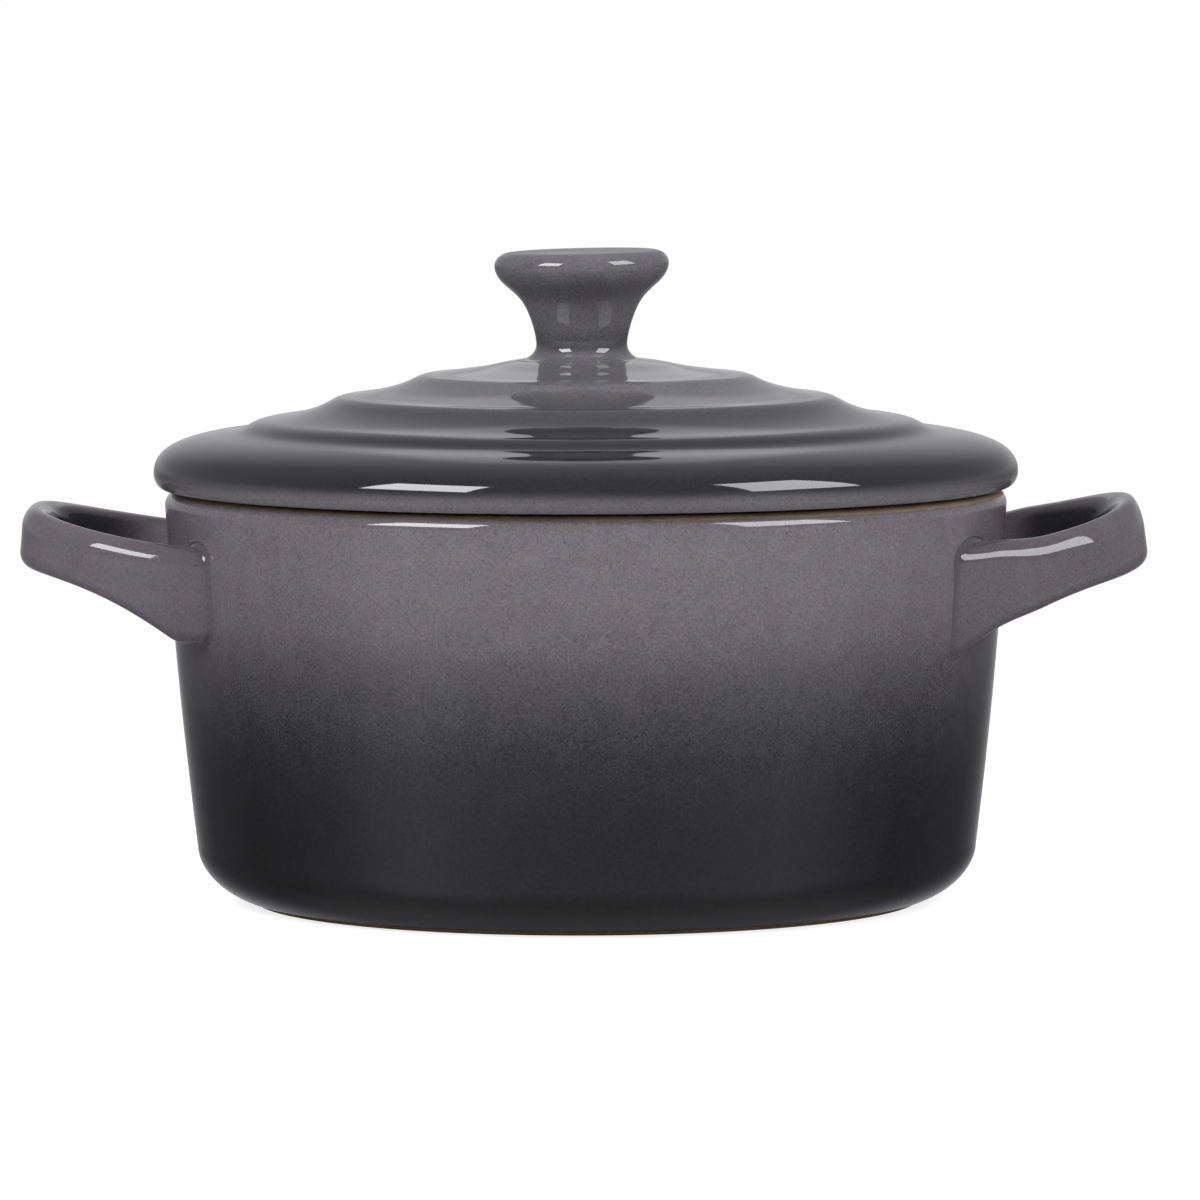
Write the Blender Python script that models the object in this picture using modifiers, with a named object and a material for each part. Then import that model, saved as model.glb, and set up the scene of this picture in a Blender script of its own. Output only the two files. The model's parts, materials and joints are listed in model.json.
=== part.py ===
"""Mini cocotte in glazed stoneware: a turned pot with two luted strap handles, and a stepped lid with a flared knob.

+X runs along the handles, -Y is the front, +Z is up. The foot ring stands on z = 0 and the turning axis is x = y = 0.
"""

import math

import bmesh
import bpy

MM = 0.001
GAP = 0.3  # slip joint and seat clearance between neighbouring pieces

# Pot, in millimetres
RIM_Z = 48.92
RIM_ROUND = 1.75
WALL_REF_Z = 48.0  # height at which the outer radius is stated
WALL_R = 49.94
WALL_LEAN = 0.0519  # inward slope per mm below the reference height
WALL_BOW = 0.000893  # extra inward slope, growing downwards
WALL_T = 4.6
HEEL_Z = 6.59  # the wall turns in to the foot below this height
HEEL_R = 37.84
HEEL_N = 1.82  # roundness of the heel
FOOT_R = 39.8
FOOT_H = 0.45
FOOT_BEVEL = 0.2
FOOT_IN_R = 34.4
RECESS_Z = 1.3
FLOOR_Z = 5.6
FLOOR_ROUND = 8.5

# Lid, in millimetres
SEAT_Z = RIM_Z + GAP
DOME_Z = 64.87  # height of the dome's line where it would meet the axis
DOME_LEAN = 0.128
# Each ring on the dome: radius, drop outside it, softness, height of its raised bead
RINGS = ((21.2, 1.245, 1.45, 0.276), (31.15, 1.632, 1.58, 0.311), (40.1, 0.863, 0.52, 0.05))
BEAD_IN, BEAD_W = 1.85, 1.4  # how far inside the ring the bead lies, and its half width
COLLAR_RISE, COLLAR_IN, COLLAR_OUT = 0.28, 8.5, 13.0  # the dome rises a little towards the knob
SHOULDER_R = 44.13
SHOULDER_EASE = 7.0  # how late the shoulder's curve tightens towards the rim
LID_R = 51.27
LID_WIDE_Z = 51.0  # height of the widest point of the rim
LIP_ROUND, LIP_TURN = 2.2, 38.0  # the round below the widest point, and the angle it turns through
PAD_R = 7.6  # flat on top for the knob
FLANGE_R = 43.9
FLANGE_IN_R = 40.2
FLANGE_DEPTH = 3.8
UNDER_Z = 59.8
UNDER_BOW = 0.0048

# Knob, in millimetres
KNOB_BASE_R = 7.1
KNOB_NECK_R = 5.34
KNOB_NECK_Z = 66.0
KNOB_R = 10.35
KNOB_WIDE_Z = 75.5
KNOB_STEM, STEM_EASE = 2.145, 1.63  # how much the stem widens from the neck to the cap, and how late
CAP_AT, CAP_SOFT = 0.7187, 0.0861  # where the cap swells out of the stem, as a share of the height, and how softly
KNOB_ROLL = 0.06  # how tightly the cap rolls under
KNOB_TOP_Z = 77.05
KNOB_TOP_R = 8.45
KNOB_DISH = 0.25
KNOB_SHIFT = -0.43
KNOB_TILT = 0.0192  # slope of the cap, higher on the right
TILT_LOW, TILT_HIGH = 67.0, 73.5  # the slope grows between these heights

# Handles, in millimetres
HANDLE_END = 67.05
HANDLE_BOW_X = 49.2  # where the legs turn into the bow
STRAP_ROOT_T = 4.8
STRAP_EDGE = 2.0  # half height of the rounding along the strap's lower edge
HANDLE_REF_X = 47.0
# The two loops were bent and luted on by hand and differ a little. Each has, in this order: start, half width, taper
# and two powers of its plan; upper edge; lower edge and where that levels off; slope of the outer side at the root and
# at the end; thickness at the end; half height of the upper edge's rounding along the leg and at the end; how much the
# far leg stands higher than the near one
LOOPS = {
    -1: ((43.5, 20.8, 0.0, 2.3, 2.9), (43.61, 0.1124, 0.0047), (31.69, 0.80, -0.0190), 0.65, (-0.06, 0.08), 3.9, (2.2, 2.2), 0.0),
    1: ((41.0, 23.0, 0.42, 8.0, 2.2), (43.92, 0.0974, 0.0073), (33.20, 0.60, -0.0133), -9.0, (-0.08, 0.13), 4.7, (2.25, 3.6), 0.03),
}

POT_STEPS = 48
LID_STEPS = 48
KNOB_STEPS = 32
EDGE_STEPS = 6
BOW_STATIONS = 8


def wall_r(z):
    d = WALL_REF_Z - z
    return WALL_R - WALL_LEAN * d - WALL_BOW * d * d


def span(a, b, n):
    return [a + (b - a) * i / n for i in range(n + 1)]


def smooth(a, b, x):
    t = min(max((x - a) / (b - a), 0.0), 1.0)
    return t * t * (3 - 2 * t)


def quarter(r0, z0, a, b, start, stop, n, power=2.0):
    """Points of a quarter round about (r0, z0), with half widths a and b, between two angles in degrees."""
    points = []
    for t in span(math.radians(start), math.radians(stop), n):
        c, s = math.cos(t), math.sin(t)
        points.append(
            (
                r0 + a * math.copysign(abs(c) ** (2 / power), c),
                z0 + b * math.copysign(abs(s) ** (2 / power), s),
            )
        )
    return points


def pot_profile():
    heel_wall = wall_r(HEEL_Z)
    inner_low = wall_r(FLOOR_Z + FLOOR_ROUND) - WALL_T
    points = [(0.0, FLOOR_Z), (16.0, FLOOR_Z)]
    points += quarter(
        inner_low - FLOOR_ROUND, FLOOR_Z + FLOOR_ROUND, FLOOR_ROUND, FLOOR_ROUND, -90, 0, 7
    )
    for z in span(FLOOR_Z + FLOOR_ROUND, RIM_Z - RIM_ROUND, 5)[1:]:
        points.append((wall_r(z) - WALL_T, z))
    rim_low = RIM_Z - RIM_ROUND
    inner_top = wall_r(rim_low) - WALL_T
    points += quarter(inner_top + RIM_ROUND, rim_low, RIM_ROUND, RIM_ROUND, 180, 90, 3)[1:]
    points += quarter(wall_r(rim_low) - RIM_ROUND, rim_low, RIM_ROUND, RIM_ROUND, 90, 0, 4)
    for z in span(rim_low, HEEL_Z, 8)[1:]:
        points.append((wall_r(z), z))
    for t in span(0, 90, 9)[1:]:
        r = HEEL_R + (heel_wall - HEEL_R) * math.cos(math.radians(t)) ** (2 / HEEL_N)
        z = HEEL_Z * (1 - math.sin(math.radians(t)) ** (2 / HEEL_N))
        if z > FOOT_H + 0.15:
            points.append((r, z))
    points += [(FOOT_R, FOOT_H), (FOOT_R - FOOT_BEVEL, 0.0)]
    points += [(FOOT_IN_R, 0.0), (FOOT_IN_R - 0.8, RECESS_Z), (0.0, RECESS_Z)]
    return points


def dome_z(r):
    z = DOME_Z - DOME_LEAN * r + COLLAR_RISE * smooth(COLLAR_OUT, COLLAR_IN, r)
    for ring_r, drop, soft, bead in RINGS:
        z -= drop / (1 + math.exp(-(r - ring_r) / soft))
        z += bead * math.exp(-(((r - ring_r + BEAD_IN) / BEAD_W) ** 2))
    return z


def shoulder(n):
    """From the dome's edge out to the widest place: it leaves the dome at its slope and bends ever tighter."""
    top = dome_z(SHOULDER_R)
    steep = math.pi / 2 - math.atan((dome_z(SHOULDER_R - 0.01) - top) / 0.01)
    steps = 40 * n
    sums = [(0.0, 0.0, 0.0, 0.0)]
    for i in range(steps):
        a = steep * (i + 0.5) / steps
        grow = (a / steep) ** SHOULDER_EASE
        parts = (math.sin(a), grow * math.sin(a), math.cos(a), grow * math.cos(a))
        sums.append(tuple(old + part * steep / steps for old, part in zip(sums[-1], parts)))
    # radius at the nose, and how much it grows towards the dome, from the width and height to be spanned
    a0, a1, c0, c1 = sums[-1]
    wide, high = LID_R - SHOULDER_R, top - LID_WIDE_Z
    nose = (wide * c1 - high * a1) / (a0 * c1 - c0 * a1)
    more = (a0 * high - c0 * wide) / (a0 * c1 - c0 * a1)
    points = []
    for k in range(n + 1):
        a0, a1, c0, c1 = sums[round(steps * (1 - k / n) ** 0.75)]
        points.append((LID_R - nose * a0 - more * a1, LID_WIDE_Z + nose * c0 + more * c1))
    return points


def lip(n):
    """Below the widest place: a round that turns in more tightly to the seat."""
    turn = math.radians(LIP_TURN)
    r, z = LID_R - LIP_ROUND * (1 - math.cos(turn)), LID_WIDE_Z - LIP_ROUND * math.sin(turn)
    small = (z - SEAT_Z) / (1 - math.sin(turn))
    points = quarter(LID_R - LIP_ROUND, LID_WIDE_Z, LIP_ROUND, LIP_ROUND, 0, -LIP_TURN, n)[1:]
    centre_r, centre_z = r - small * math.cos(turn), z + small * math.sin(turn)
    return points + quarter(centre_r, centre_z, small, small, -LIP_TURN, -90, n)[1:]


def lid_profile():
    pad_z = dome_z(PAD_R)
    points = [(0.0, pad_z)]
    for r in span(PAD_R, 17.0, 5):
        points.append((r, dome_z(r)))
    for r in span(17.0, SHOULDER_R, 28)[1:]:
        points.append((r, dome_z(r)))
    points += shoulder(11)[1:]
    points += lip(4)
    points += [(FLANGE_R + 0.4, SEAT_Z), (FLANGE_R, SEAT_Z - 0.4)]
    low = SEAT_Z - FLANGE_DEPTH
    points += quarter(FLANGE_R - 1.4, low + 1.2, 1.1, 1.2, 0, -90, 3)
    points += quarter(FLANGE_IN_R + 0.6, low + 1.2, 1.1, 1.2, -90, -180, 3)
    for r in span(FLANGE_IN_R - 0.9, 0.0, 6):
        points.append((r, UNDER_Z - UNDER_BOW * r * r))
    return points


def knob_profile():
    """The knob's outline, with heights counted from its own base."""
    base_z = knob_base_z()
    points = [(0.0, KNOB_TOP_Z - KNOB_DISH), (KNOB_TOP_R * 0.5, KNOB_TOP_Z - 0.75 * KNOB_DISH)]
    points += quarter(
        KNOB_TOP_R, KNOB_WIDE_Z, KNOB_R - KNOB_TOP_R, KNOB_TOP_Z - KNOB_WIDE_Z, 90, 0, 5
    )
    # below the widest point the side falls in a double curve to the neck
    for t in span(0.0, 1.0, 13)[1:]:
        z = KNOB_WIDE_Z + (KNOB_NECK_Z - KNOB_WIDE_Z) * t
        points.append((flare_r(z), z))
    fillet = KNOB_BASE_R - KNOB_NECK_R
    rise = KNOB_NECK_Z - base_z
    for t in span(0, 90, 4)[1:]:
        a = math.radians(t)
        points.append((KNOB_BASE_R - fillet * math.cos(a) ** 0.9, KNOB_NECK_Z - rise * math.sin(a)))
    points.append((0.0, base_z))
    return [(r, z - base_z) for r, z in points]


def knob_base_z():
    return dome_z(PAD_R) + GAP


def swell(u):
    return 1 / (1 + math.exp(-(u - CAP_AT) / CAP_SOFT))


def flare_r(z):
    """Radius of the knob between its neck and its widest point."""
    u = (z - KNOB_NECK_Z) / (KNOB_WIDE_Z - KNOB_NECK_Z)
    cap = (swell(u) - swell(0)) / (swell(1) - swell(0))
    stem = KNOB_STEM * math.sin(0.5 * math.pi * min(max(u, 0.0), 1.0)) ** STEM_EASE
    r = KNOB_NECK_R + stem + (KNOB_R - KNOB_NECK_R - KNOB_STEM) * cap
    return KNOB_R + KNOB_ROLL - math.hypot(KNOB_R - r, KNOB_ROLL)


def strap_edges(x, side):
    """Heights of the strap's upper and lower edge."""
    _, top, bottom, level, _, _, _, _ = LOOPS[side]
    d = x - HANDLE_REF_X
    low = level + 0.4 * math.log1p(math.exp((d - level) / 0.4)) if d - level < 8 else d
    return top[0] + top[1] * d + top[2] * d * d, bottom[0] + bottom[1] * low + bottom[2] * low * low


def strap_reach(side):
    """Where the strap's centre line crosses the middle of the loop."""
    return HANDLE_END - LOOPS[side][5] / 2


def strap_plan(x, side):
    """Distance of the strap's centre line from the middle of the loop, and how fast it closes in."""
    start, half_width, taper, p, q = LOOPS[side][0]
    reach = strap_reach(side) - start
    u = min(max((x - start) / reach, 1e-6), 1 - 1e-9)
    wide, left = half_width - taper * u * reach, 1 - u**p
    slope = taper * left ** (1 / q) + wide * p / q / reach * u ** (p - 1) * left ** (1 / q - 1)
    return wide * left ** (1 / q), slope


def strap_section(x, side):
    """Middle height at that place, and across and up offsets round the section: flat sides, rounded edges."""
    _, _, _, _, drafts, end_t, edges, _ = LOOPS[side]
    along = min(max((x - 46.0) / (strap_reach(side) - 46.0), 0.0), 1.0)
    half_t = 0.5 * (STRAP_ROOT_T + (end_t - STRAP_ROOT_T) * along)
    top, bottom = strap_edges(x, side)
    half_h = 0.5 * (top - bottom)
    root, bow = drafts[0] * smooth(52.0, 45.5, x), drafts[1] * smooth(46.0, 62.0, x)
    edge = edges[0] + (edges[1] - edges[0]) * smooth(55.0, 64.0, x)
    ring = []
    for start, middle, high in ((0, half_h - edge, edge), (180, STRAP_EDGE - half_h, STRAP_EDGE)):
        for t in span(start, start + 180, EDGE_STEPS):
            a = math.radians(t)
            across, up = half_t * math.cos(a), middle + high * math.sin(a)
            lean_in = root * (up - 0.5 * half_h) + bow * (up + half_h - STRAP_EDGE)
            ring.append((across - lean_in * max(across, 0.0) / half_t, up))
    return 0.5 * (top + bottom), ring


def strap_point(x, y_sign, side, index):
    """One point of the section that has its centre at that distance along a leg."""
    mid, ring = strap_section(x, side)
    across, up = ring[index]
    y, slope = strap_plan(x, side)
    n = math.hypot(1.0, slope)
    px, py = x + across * slope / n, y_sign * (y + across / n)
    return px, py, mid + up + LOOPS[side][7] * py * smooth(47.5, 54.0, px)


def strap_root(y_sign, side, index):
    """Where the line of one section point meets the pot's wall less the slip joint."""
    x = 45.0
    for _ in range(24):
        px, py, pz = strap_point(x, y_sign, side, index)
        x += 0.7 * (math.sqrt((wall_r(pz) + GAP) ** 2 - py * py) - px)
    return strap_point(x, y_sign, side, index)


def strap_mesh(name, side):
    """A loop lofted through the strap's sections, from the front root round the bow to the back root."""
    count = 2 * (EDGE_STEPS + 1)
    legs = {}
    for y_sign in (-1, 1):
        legs[y_sign] = [[strap_root(y_sign, side, i) for i in range(count)]]
        legs[y_sign].append([strap_point(47.6, y_sign, side, i) for i in range(count)])
    rings = list(legs[-1])
    reach = strap_reach(side)
    for k in range(-BOW_STATIONS, BOW_STATIONS + 1):
        t = 0.5 * math.pi * (abs(k) / BOW_STATIONS) ** 1.3
        cx = HANDLE_BOW_X + (reach - HANDLE_BOW_X) * math.cos(t)
        if k:
            rings.append([strap_point(cx, math.copysign(1.0, k), side, i) for i in range(count)])
        else:
            mid, ring = strap_section(cx, side)
            rings.append([(cx + across, 0.0, mid + up) for across, up in ring])
    rings += list(reversed(legs[1]))
    bm = bmesh.new()
    made = [[bm.verts.new((side * x * MM, y * MM, z * MM)) for x, y, z in ring] for ring in rings]
    for a, b in zip(made, made[1:]):
        for i in range(count):
            j = (i + 1) % count
            bm.faces.new((a[i], a[j], b[j], b[i]))
    bm.faces.new(made[0])
    bm.faces.new(made[-1])
    bmesh.ops.recalc_face_normals(bm, faces=bm.faces)
    for face in bm.faces:
        face.smooth = len(face.verts) == 4
    mesh = bpy.data.meshes.new(name)
    bm.to_mesh(mesh)
    bm.free()
    return mesh


def knob_mesh(name):
    """The turned knob, with its cap set a little askew."""
    base_z = knob_base_z()
    bm = bmesh.new()
    rows = []
    for r, z in knob_profile():
        row = []
        for k in range(1 if r < 1e-6 else KNOB_STEPS):
            angle = 2 * math.pi * k / KNOB_STEPS
            x, y = r * math.cos(angle), r * math.sin(angle)
            lift = KNOB_TILT * x * smooth(TILT_LOW, TILT_HIGH, z + base_z)
            row.append(bm.verts.new((x * MM, y * MM, (z + lift) * MM)))
        rows.append(row)
    for a, b in zip(rows, rows[1:]):
        for k in range(KNOB_STEPS):
            j = (k + 1) % KNOB_STEPS
            corners = [a[k % len(a)], b[k % len(b)], b[j % len(b)], a[j % len(a)]]
            bm.faces.new(list(dict.fromkeys(corners)))
    bmesh.ops.recalc_face_normals(bm, faces=bm.faces)
    for face in bm.faces:
        face.smooth = True
    mesh = bpy.data.meshes.new(name)
    bm.to_mesh(mesh)
    bm.free()
    return mesh


def glaze(name, colour, roughness):
    material = bpy.data.materials.new(name)
    material.use_nodes = True
    shader = material.node_tree.nodes["Principled BSDF"]
    shader.inputs["Base Color"].default_value = (*colour, 1.0)
    shader.inputs["Roughness"].default_value = roughness
    shader.inputs["Metallic"].default_value = 0.0
    return material


def place(obj, collection, material):
    obj.data.materials.append(material)
    collection.objects.link(obj)
    return obj


def turned(name, profile, steps, collection, material):
    """A piece turned about the Z axis from a profile given top to bottom down its outer side."""
    mesh = bpy.data.meshes.new(name)
    mesh.from_pydata(
        [(r * MM, 0.0, z * MM) for r, z in profile],
        [(i, i + 1) for i in range(len(profile) - 1)],
        [],
    )
    obj = place(bpy.data.objects.new(name, mesh), collection, material)
    turn = obj.modifiers.new("turn", "SCREW")
    turn.axis = "Z"
    turn.angle = 2 * math.pi
    turn.steps = steps
    turn.render_steps = steps
    turn.use_merge_vertices = True
    turn.merge_threshold = 0.00001
    turn.use_smooth_shade = True
    return obj


def main():
    for obj in list(bpy.data.objects):
        bpy.data.objects.remove(obj, do_unlink=True)
    collection = bpy.data.collections.new("mini_cocotte")
    bpy.context.scene.collection.children.link(collection)

    pot = turned("pot_body", pot_profile(), POT_STEPS, collection, glaze("pot_glaze", (0.15, 0.137, 0.15), 0.16))
    for name, side in (("handle_left", -1), ("handle_right", 1)):
        loop = bpy.data.objects.new(name, strap_mesh(name, side))
        place(loop, collection, glaze(name + "_glaze", (0.17, 0.158, 0.17), 0.18))
        loop.parent = pot

    lid = turned("lid_shell", lid_profile(), LID_STEPS, collection, glaze("lid_glaze", (0.13, 0.121, 0.132), 0.14))
    knob = bpy.data.objects.new("lid_knob", knob_mesh("lid_knob"))
    place(knob, collection, glaze("knob_glaze", (0.17, 0.16, 0.172), 0.15))
    # the knob sits a little off the axis
    knob.parent = lid
    knob.location = (KNOB_SHIFT * MM, 0.0, knob_base_z() * MM)


main()
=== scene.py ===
"""Looks of a mini cocotte in glazed stoneware: a turned pot, two luted strap loops, a ringed lid and its knob.

Lengths in the shape functions are in millimetres, in the frame of the solids: +X along the loops, -Y the front,
+Z up, the foot ring on z = 0 and the turning axis at x = y = 0.
"""

import json
import math

import bpy
from mathutils import Matrix, Quaternion, Vector, noise

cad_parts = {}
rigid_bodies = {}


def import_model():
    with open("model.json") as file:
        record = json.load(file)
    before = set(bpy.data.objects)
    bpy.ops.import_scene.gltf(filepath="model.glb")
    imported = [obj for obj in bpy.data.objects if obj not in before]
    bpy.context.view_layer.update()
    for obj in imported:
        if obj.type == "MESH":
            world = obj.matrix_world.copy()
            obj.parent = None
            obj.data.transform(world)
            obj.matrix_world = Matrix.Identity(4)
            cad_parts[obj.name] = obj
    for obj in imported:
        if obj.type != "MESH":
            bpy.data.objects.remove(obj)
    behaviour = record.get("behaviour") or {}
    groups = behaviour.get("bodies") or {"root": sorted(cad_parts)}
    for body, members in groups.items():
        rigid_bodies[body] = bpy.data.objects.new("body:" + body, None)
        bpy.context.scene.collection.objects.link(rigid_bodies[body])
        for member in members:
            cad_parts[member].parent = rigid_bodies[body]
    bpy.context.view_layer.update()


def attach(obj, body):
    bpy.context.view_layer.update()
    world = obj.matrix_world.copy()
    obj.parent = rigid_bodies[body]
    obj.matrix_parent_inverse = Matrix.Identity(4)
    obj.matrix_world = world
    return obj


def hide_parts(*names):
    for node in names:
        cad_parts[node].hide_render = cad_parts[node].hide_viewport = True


MM = 0.001

# Pot
RIM_Z = 48.92
RIM_ROUND = 1.75
WALL_REF_Z = 48.0
WALL_R = 49.94
WALL_LEAN = 0.0519
WALL_BOW = 0.000893
WALL_T = 4.6
HEEL_Z = 6.59
HEEL_R = 37.84
HEEL_N = 1.82
FOOT_R = 39.8
FOOT_H = 0.45
FOOT_BEVEL = 0.2
FOOT_IN_R = 34.4
RECESS_Z = 1.3
FLOOR_Z = 5.6
FLOOR_ROUND = 8.5

# Lid
GAP = 0.3
SEAT_Z = RIM_Z + GAP
DOME_Z = 64.87
DOME_LEAN = 0.128
RINGS = ((21.2, 1.245, 1.45, 0.276), (31.15, 1.632, 1.58, 0.311), (40.1, 0.863, 0.52, 0.05))
BEAD_IN, BEAD_W = 1.85, 1.4
COLLAR_RISE, COLLAR_IN, COLLAR_OUT = 0.28, 8.5, 13.0
SHOULDER_R = 44.13
SHOULDER_EASE = 7.0
LID_R = 51.27
LID_WIDE_Z = 51.0
LIP_ROUND, LIP_TURN = 2.2, 38.0
LID_TILT = 0.001
PAD_R = 7.6
FLANGE_R = 43.9
FLANGE_IN_R = 40.2
FLANGE_DEPTH = 3.8
UNDER_Z = 59.8
UNDER_BOW = 0.0048

# Knob
KNOB_BASE_R = 7.1
KNOB_NECK_R = 5.34
KNOB_NECK_Z = 66.0
KNOB_R = 10.35
KNOB_WIDE_Z = 75.5
KNOB_STEM, STEM_EASE = 2.145, 1.63
CAP_AT, CAP_SOFT = 0.7187, 0.0861
KNOB_ROLL = 0.06
KNOB_TOP_Z = 77.05
KNOB_TOP_R = 8.45
KNOB_DISH = 0.25
KNOB_SHIFT = -0.43
KNOB_TILT = 0.0192

# Loops
HANDLE_BOW_X = 49.2
STRAP_ROOT_T = 4.8
STRAP_EDGE = 2.0  # half height of the rounding along the strap's lower edge
HANDLE_REF_X = 47.0
# end of the loop; start, half width, taper and two powers of its plan; upper edge; lower edge and where that levels off;
# slope of the outer side at the root and at the end; thickness at the end; half height of the upper
# edge's rounding along the leg and at the end; how much the far leg stands higher than the near one
LOOPS = {
    -1: (67.16, (43.5, 20.8, 0.0, 2.3, 2.9), (43.61, 0.1124, 0.0047), (31.69, 0.80, -0.0190), 0.65, (-0.06, 0.08), 3.9, (2.2, 2.2), 0.0),
    1: (66.85, (41.0, 23.0, 0.42, 8.0, 2.2), (43.92, 0.0974, 0.0073), (33.20, 0.60, -0.0133), -9.0, (-0.08, 0.13), 4.7, (2.25, 3.6), 0.03),
}

# View, in millimetres and radians
VIEW_DISTANCE = 1100.0
VIEW_HEIGHT = 122.5
VIEW_AIM_Z = 35.55
VIEW_X = 1.64
VIEW_ROLL = 0.003
LENS = 278.66


def span(a, b, n):
    return [a + (b - a) * i / n for i in range(n + 1)]


def smooth(a, b, x):
    t = min(max((x - a) / (b - a), 0.0), 1.0)
    return t * t * (3 - 2 * t)


def quarter(r0, z0, a, b, start, stop, n, power=2.0):
    points = []
    for t in span(math.radians(start), math.radians(stop), n):
        c, s = math.cos(t), math.sin(t)
        points.append(
            (
                r0 + a * math.copysign(abs(c) ** (2 / power), c),
                z0 + b * math.copysign(abs(s) ** (2 / power), s),
            )
        )
    return points


def wall_r(z):
    d = WALL_REF_Z - z
    return WALL_R - WALL_LEAN * d - WALL_BOW * d * d


def dome_z(r):
    """The dome steps down at each ring, with a slight bead along the upper edge of the step, and rises to the knob."""
    z = DOME_Z - DOME_LEAN * r + COLLAR_RISE * smooth(COLLAR_OUT, COLLAR_IN, r)
    for ring_r, drop, soft, bead in RINGS:
        z -= drop / (1 + math.exp(-(r - ring_r) / soft))
        z += bead * math.exp(-(((r - ring_r + BEAD_IN) / BEAD_W) ** 2))
    return z


def shoulder(n):
    """From the dome's edge out to the widest place: it leaves the dome at its slope and bends ever tighter."""
    top = dome_z(SHOULDER_R)
    steep = math.pi / 2 - math.atan((dome_z(SHOULDER_R - 0.01) - top) / 0.01)
    steps = 12 * n
    sums = [(0.0, 0.0, 0.0, 0.0)]
    for i in range(steps):
        a = steep * (i + 0.5) / steps
        grow = (a / steep) ** SHOULDER_EASE
        parts = (math.sin(a), grow * math.sin(a), math.cos(a), grow * math.cos(a))
        sums.append(tuple(old + part * steep / steps for old, part in zip(sums[-1], parts)))
    a0, a1, c0, c1 = sums[-1]
    wide, high = LID_R - SHOULDER_R, top - LID_WIDE_Z
    nose = (wide * c1 - high * a1) / (a0 * c1 - c0 * a1)
    more = (a0 * high - c0 * wide) / (a0 * c1 - c0 * a1)
    points = []
    for k in range(n + 1):
        a0, a1, c0, c1 = sums[round(steps * (1 - k / n) ** 0.6)]
        points.append((LID_R - nose * a0 - more * a1, LID_WIDE_Z + nose * c0 + more * c1))
    return points


def lip(n):
    """Below the widest place: a round that turns in more tightly to the seat."""
    turn = math.radians(LIP_TURN)
    r, z = LID_R - LIP_ROUND * (1 - math.cos(turn)), LID_WIDE_Z - LIP_ROUND * math.sin(turn)
    small = (z - SEAT_Z) / (1 - math.sin(turn))
    points = quarter(LID_R - LIP_ROUND, LID_WIDE_Z, LIP_ROUND, LIP_ROUND, 0, -LIP_TURN, n)[1:]
    centre_r, centre_z = r - small * math.cos(turn), z + small * math.sin(turn)
    return points + quarter(centre_r, centre_z, small, small, -LIP_TURN, -90, n)[1:]


def rounded(points, corner, radius, n=5):
    """The polyline with the corner at that place replaced by a small round."""
    (ax, ay), (bx, by), (cx, cy) = points[corner - 1 : corner + 2]
    la, lc = math.hypot(ax - bx, ay - by), math.hypot(cx - bx, cy - by)
    p = (bx + (ax - bx) * radius / la, by + (ay - by) * radius / la)
    q = (bx + (cx - bx) * radius / lc, by + (cy - by) * radius / lc)
    arc = []
    for t in span(0.0, 1.0, n):
        arc.append(
            tuple((1 - t) ** 2 * p[k] + 2 * t * (1 - t) * (bx, by)[k] + t * t * q[k] for k in (0, 1))
        )
    return points[:corner] + arc + points[corner + 1 :]


def pot_profile():
    heel_wall = wall_r(HEEL_Z)
    inner_low = wall_r(FLOOR_Z + FLOOR_ROUND) - WALL_T
    points = [(r, FLOOR_Z) for r in span(0.0, inner_low - FLOOR_ROUND, 14)[:-1]]
    points += quarter(
        inner_low - FLOOR_ROUND, FLOOR_Z + FLOOR_ROUND, FLOOR_ROUND, FLOOR_ROUND, -90, 0, 18
    )
    rim_low = RIM_Z - RIM_ROUND
    for z in span(FLOOR_Z + FLOOR_ROUND, rim_low, 22)[1:]:
        points.append((wall_r(z) - WALL_T, z))
    outer = wall_r(rim_low)
    points += quarter(outer - WALL_T + RIM_ROUND, rim_low, RIM_ROUND, RIM_ROUND, 180, 90, 14)[1:]
    points += quarter(outer - RIM_ROUND, rim_low, RIM_ROUND, RIM_ROUND, 90, 0, 18)
    for z in span(rim_low, HEEL_Z, 46)[1:]:
        points.append((wall_r(z), z))
    heel = []
    for t in span(0, 90, 60)[1:]:
        r = HEEL_R + (heel_wall - HEEL_R) * math.cos(math.radians(t)) ** (2 / HEEL_N)
        z = HEEL_Z * (1 - math.sin(math.radians(t)) ** (2 / HEEL_N))
        if z > FOOT_H + 0.1:
            heel.append((r, z))
    points += heel
    foot = [heel[-1], (FOOT_R, FOOT_H), (FOOT_R - FOOT_BEVEL, 0.0), (FOOT_IN_R, 0.0), (FOOT_IN_R - 0.8, RECESS_Z), (24.0, RECESS_Z)]
    foot = rounded(foot, 4, 0.5)
    foot = rounded(foot, 3, 0.35)
    foot = rounded(foot, 2, 0.15, 3)
    foot = rounded(foot, 1, 0.1, 3)
    points += foot[1:]
    points += [(r, RECESS_Z) for r in (16.0, 8.0, 0.0)]
    return points


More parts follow.
